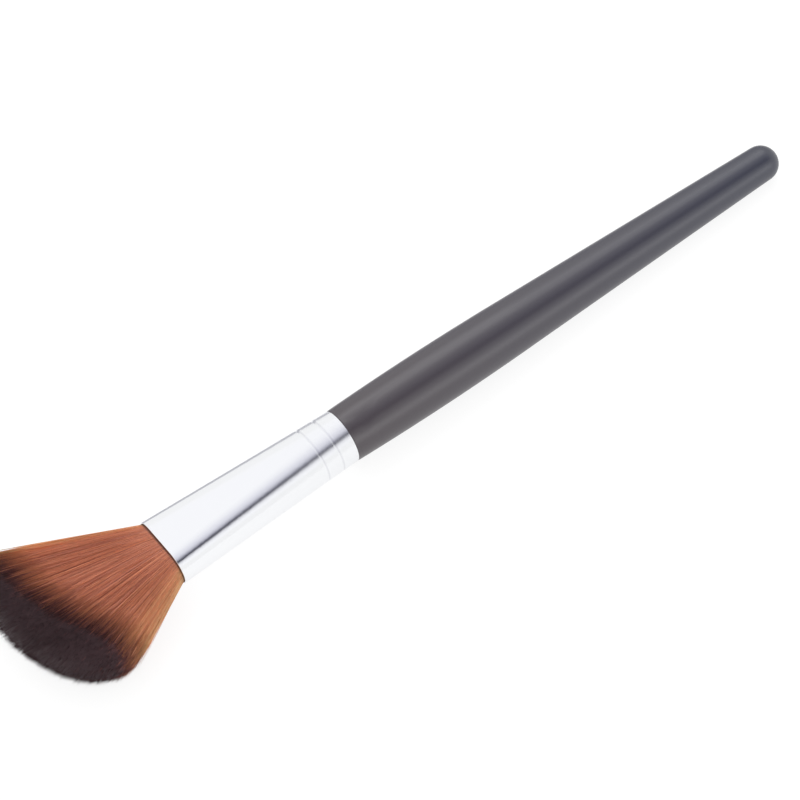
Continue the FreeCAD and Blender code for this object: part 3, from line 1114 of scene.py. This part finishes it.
@dataclass(frozen=True)
class Studio:
    """Pale floor, white surroundings, soft boxes, and what the bright metal mirrors.

    Swings are angles round the brush's axis in degrees, from straight out of the upper face towards
    the short hair. What stands round the brush leans towards the handle as much as the camera leans
    towards the tuft, so that the metal mirrors it.
    """

    place: BrushPlace
    floor_side: float = 8.0
    floor_albedo: float = 0.76
    floor_seen: float = 0.20
    floor_lift: float = 0.86
    room_light: float = 0.95
    box_distance: float = 0.9
    # The bright metal would burn out, so the boxes leave it to the room and the cards. The low box
    # is for the edge of the hair alone.
    boxes: tuple[SoftBox, ...] = (
        SoftBox("overhead_box", -29.3, (1.0, 0.54), 1.08, ("ferrule",)),
        SoftBox("front_box", 79.7, (1.0, 0.32), 1.08, ("ferrule",)),
        SoftBox("low_side_box", -78.0, (1.0, 0.25), 2.2, ("ferrule", "handle")),
    )
    lean: float = 15.6
    gap_distance: float = 1.3
    gap_reach: Pair = (-1.0, 1.6)
    gap_columns: int = 60
    gap_swings: Pair = (-47.3, 64.7)
    gap_tones: Stops = (
        (-47.3, "#FBFBFC"), (-29.3, "#FAFAFC"), (-12.3, "#F2F2F6"), (-2.3, "#E9E9EF"),
        (7.7, "#DEDEE6"), (15.7, "#D0D0DA"), (22.7, "#B4B4C0"), (27.7, "#84848F"),
        (31.7, "#4A4A54"), (35.7, "#40404A"), (38.7, "#84848C"), (41.7, "#C2C2C8"),
        (46.7, "#E8E8EC"), (56.7, "#FAFAFC"),
    )
    # Painted shadow: a grey strip that stands for the brush's shadow on the floor behind it.
    shadow_strip_reach: Pair = (-150.0, 250.0)
    shadow_strip_far: float = 30.0
    shadow_strip_height: float = 12.0
    painted_shadow_tone: str = "#B8B8BE"
    card_light: float = 1.09

    def dress(self, nodes: dict[str, Piece]) -> None:
        """Adds everything round the brush, whose nodes are given by name."""
        self.add_room()
        self.add_floor()
        for box in self.boxes:
            self.add_box(box, nodes)
        self.add_tent_gap()
        self.add_shadow_strip()

    def seen(self, tree: Tree) -> Socket:
        """One for rays of the camera, of gloss and of transmission, and nought for the rest."""
        ray = add_node(tree, "ShaderNodeLightPath").outputs
        either = add_math(tree, "MAXIMUM", ray["Is Camera Ray"], ray["Is Glossy Ray"])
        return add_math(tree, "MAXIMUM", either, ray["Is Transmission Ray"])

    def add_room(self) -> None:
        """White surroundings that light the brush at a plain level."""
        world = bpy.data.worlds.new("white_room")
        world.use_nodes = True
        tree = world.node_tree
        tree.nodes.clear()
        level = add_range(tree, self.seen(tree), after=(self.room_light, 1.0))
        light = add_node(
            tree, "ShaderNodeBackground", inputs={"Color": linear("#FFFFFF"), "Strength": level}
        )
        add_node(tree, "ShaderNodeOutputWorld", inputs={"Surface": light.outputs["Background"]})
        bpy.context.scene.world = world

    def add_floor(self) -> None:
        """A wide sheet of white paper.

        It throws light on to the brush as paper does, and what is seen of it is nearly burnt out to
        white, so that only a faint shadow stays.
        """
        half = self.floor_side / 2
        corners = np.array([[-half, -half, 0], [half, -half, 0], [half, half, 0], [-half, half, 0]])
        floor = add_surface("paper_floor", corners, SQUARE)
        material, tree = new_material("matt_white_paper")
        seen = self.seen(tree)
        tone = add_range(tree, seen, after=(self.floor_albedo, self.floor_seen))
        lift = add_range(tree, seen, after=(0.0, self.floor_lift))
        paper = add_node(tree, "ShaderNodeBsdfDiffuse", inputs={"Color": tone})
        glow = add_node(tree, "ShaderNodeEmission", inputs={"Strength": lift})
        both = add_node(
            tree, "ShaderNodeAddShader",
            inputs={0: paper.outputs["BSDF"], 1: glow.outputs["Emission"]},
        )
        show_shader(tree, both.outputs["Shader"])
        give_material(floor, material)

    def directions(self, swing: Array | float) -> Array:
        """Directions in the brush's own frame, one row for each swing."""
        lean = radians(self.lean)
        side = np.radians(np.asarray(swing, dtype=float))
        along = np.full_like(side, sin(lean))
        return np.stack([along, -cos(lean) * np.sin(side), cos(lean) * np.cos(side)], axis=-1)

    def add_box(self, box: SoftBox, nodes: dict[str, Piece]) -> None:
        """Adds one soft box that faces the joint and isn't seen itself.

        Args:
            box: The box.
            nodes: The nodes of the frame by name.
        """
        data = bpy.data.lights.new(box.name, "AREA")
        data.shape = "RECTANGLE"
        data.size, data.size_y = box.size
        data.energy = box.radiance * pi * data.size * data.size_y
        back = Vector(self.place.turn @ self.directions(box.swing))
        across = Vector(self.place.turn[:, 0]).cross(back).normalized()
        along = across.cross(back)
        centre = Vector(self.place.joint) + self.box_distance * back
        lamp = add_object(box.name, data)
        facing = Matrix((-along, across, back)).transposed()
        lamp.matrix_world = Matrix.Translation(centre) @ facing.to_4x4()
        lamp.visible_camera = False
        screened = bpy.data.collections.new("screened_from_" + box.name)
        for number, name in enumerate(box.screened):
            screened.objects.link(nodes[name])
            screened.collection_objects[number].light_linking.link_state = "EXCLUDE"
        lamp.light_linking.receiver_collection = screened

    def add_tent_gap(self) -> None:
        """The dark gap that is left open in the light tent.

        It is a stretch of a wide cylinder round the brush's axis, given by the swing and the
        distance along the brush.
        """
        low, high = self.gap_swings
        swing = np.linspace(low, high, self.gap_columns)
        along = np.array(self.gap_reach) / MM
        round_axis = self.gap_distance / MM * self.directions(swing) * (0.0, 1.0, 1.0)
        grid = round_axis[:, None, :] + along[None, :, None] * (1.0, 0.0, 0.0)
        column = np.linspace(0.0, 1.0, self.gap_columns)[:, None]
        share = np.broadcast_to(column, grid.shape[:2])
        row = 2 * np.arange(self.gap_columns - 1)[:, None]
        faces = row[:, :, None] + np.array([[0, 1, 3], [0, 3, 2]])
        gap = add_surface(
            "tent_gap", self.place.put(grid.reshape(-1, 3)), faces.reshape(-1, 3),
            np.stack([share, share], -1).reshape(-1, 2),
        )
        stops = tuple(((at - low) / (high - low), tone) for at, tone in self.gap_tones)
        self.show_in_gloss(gap, "sewn_tent_cloth", stops)

    def add_shadow_strip(self) -> None:
        """A low grey strip on the floor behind the brush, seen only in gloss: a painted shadow of
        the floor there, which draws a line on the metal's edge.
        """
        ends = np.array([[along, self.shadow_strip_far, 0.0] for along in self.shadow_strip_reach])
        low = self.place.put(ends)
        low[:, 2] = 0.0
        high = low + (0.0, 0.0, self.shadow_strip_height * MM)
        points = np.stack([low[0], low[1], high[1], high[0]])
        shadow_strip = add_surface("grey_flag", points, SQUARE, np.zeros((4, 2)))
        stops = ((0.0, self.painted_shadow_tone), (1.0, self.painted_shadow_tone))
        self.show_in_gloss(shadow_strip, "printed_grey_card", stops)

    def show_in_gloss(self, card: Piece, made_of: str, stops: Stops) -> None:
        """Gives a card its tones, and hides it from all but gloss.

        Args:
            card: The card, whose UV map's second share picks the tone.
            made_of: Name of its material.
            stops: Places and colours of the tones.
        """
        material, tree = new_material(made_of)
        colour = add_ramp(tree, tone_and_place(tree)[1], stops)
        glow = add_node(
            tree, "ShaderNodeEmission", inputs={"Color": colour, "Strength": self.card_light}
        )
        show_shader(tree, glow.outputs["Emission"])
        give_material(card, material)
        card.visible_camera = card.visible_diffuse = False
        card.visible_shadow = card.visible_transmission = False


def main() -> None:
    """Dresses the brush and the studio and reports each piece."""
    logging.basicConfig(level=logging.INFO, format="%(name)s: %(message)s")
    bpy.context.scene.view_settings.view_transform = "Standard"
    place = BrushPlace.from_record(frame["record"])
    Grip().dress(frame["nodes"], place)
    Tuft(place).dress()
    PhotoCamera(place).add()
    Studio(place).dress(frame["nodes"])


if __name__ == "__main__":
    main()
